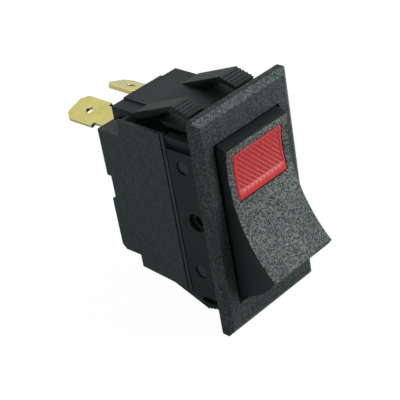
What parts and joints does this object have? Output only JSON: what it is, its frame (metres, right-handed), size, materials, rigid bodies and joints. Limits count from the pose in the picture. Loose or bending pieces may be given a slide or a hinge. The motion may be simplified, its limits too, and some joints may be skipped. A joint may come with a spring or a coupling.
{
  "type": "lighted panel rocker switch",
  "caption": "Snap-in panel rocker switch with a bevelled bezel, concave paddle, red lens, toothed snap wings and flat plug-on terminals.",
  "frame": {"origin": "centre of the panel cut-out, on the back face of the bezel", "axes": "+X to the right seen from behind the panel's user side, +Y out of the panel towards the terminals, +Z towards the lamp end"},
  "size_m": [0.025, 0.0502, 0.0458],
  "materials": {
    "nylon": "moulded black nylon, fine grain",
    "nylon_rocker": "moulded black nylon, coarse spark-eroded grain on the paddle",
    "red_lens": "clear red polycarbonate, prismatic",
    "brass_sheet": "plated brass sheet, stamped",
    "copper_strip": "bare copper strip",
    "silver_contact": "silver alloy button",
    "spring_steel": "drawn spring steel",
    "white_nylon": "natural white nylon",
    "lamp_glass": "clear glass tube",
    "tinned_wire": "tinned copper wire",
    "resistor_coat": "lacquered body"
  },
  "bodies": {
    "housing": {"front_frame": "nylon", "base": "nylon", "terminal_common": "brass_sheet", "terminal_load": "brass_sheet", "fixed_contact": "silver_contact", "terminal_lamp_left": "brass_sheet", "terminal_lamp_right": "brass_sheet", "lamp_holder": "white_nylon", "lamp_clip": "spring_steel", "lamp_bulb": "lamp_glass", "lamp_lead_left": "tinned_wire", "lamp_lead_right": "tinned_wire", "resistor": "resistor_coat", "resistor_lead": "tinned_wire"},
    "rocker": {"rocker": "nylon_rocker", "lens": "red_lens", "plunger_spring": "spring_steel"},
    "plunger": {"plunger": "white_nylon"},
    "contact_arm": {"contact_arm": "copper_strip", "moving_contact": "silver_contact"}
  },
  "joints": [
    {"name": "rocker_hinge", "type": "hinge", "parent": "housing", "child": "rocker", "pos_m": [0, 0.004, 0], "axis": [1, 0, 0], "range_deg": [0, 31]},
    {"name": "plunger_slide", "type": "slide", "parent": "rocker", "child": "plunger", "axis": [0, -0.9636, 0.2672], "range_m": [0, 0.0008], "stiffness_N_per_m": 20, "springref_m": -0.003, "deforming": ["plunger_spring"]},
    {"name": "arm_hinge", "type": "hinge", "parent": "housing", "child": "contact_arm", "pos_m": [0, 0.0138, 0], "axis": [1, 0, 0], "range_deg": [-12, 0]}
  ],
  "couplings": [
    {"joint": "arm_hinge", "follows": "rocker_hinge", "ratio": -0.3871}
  ]
}
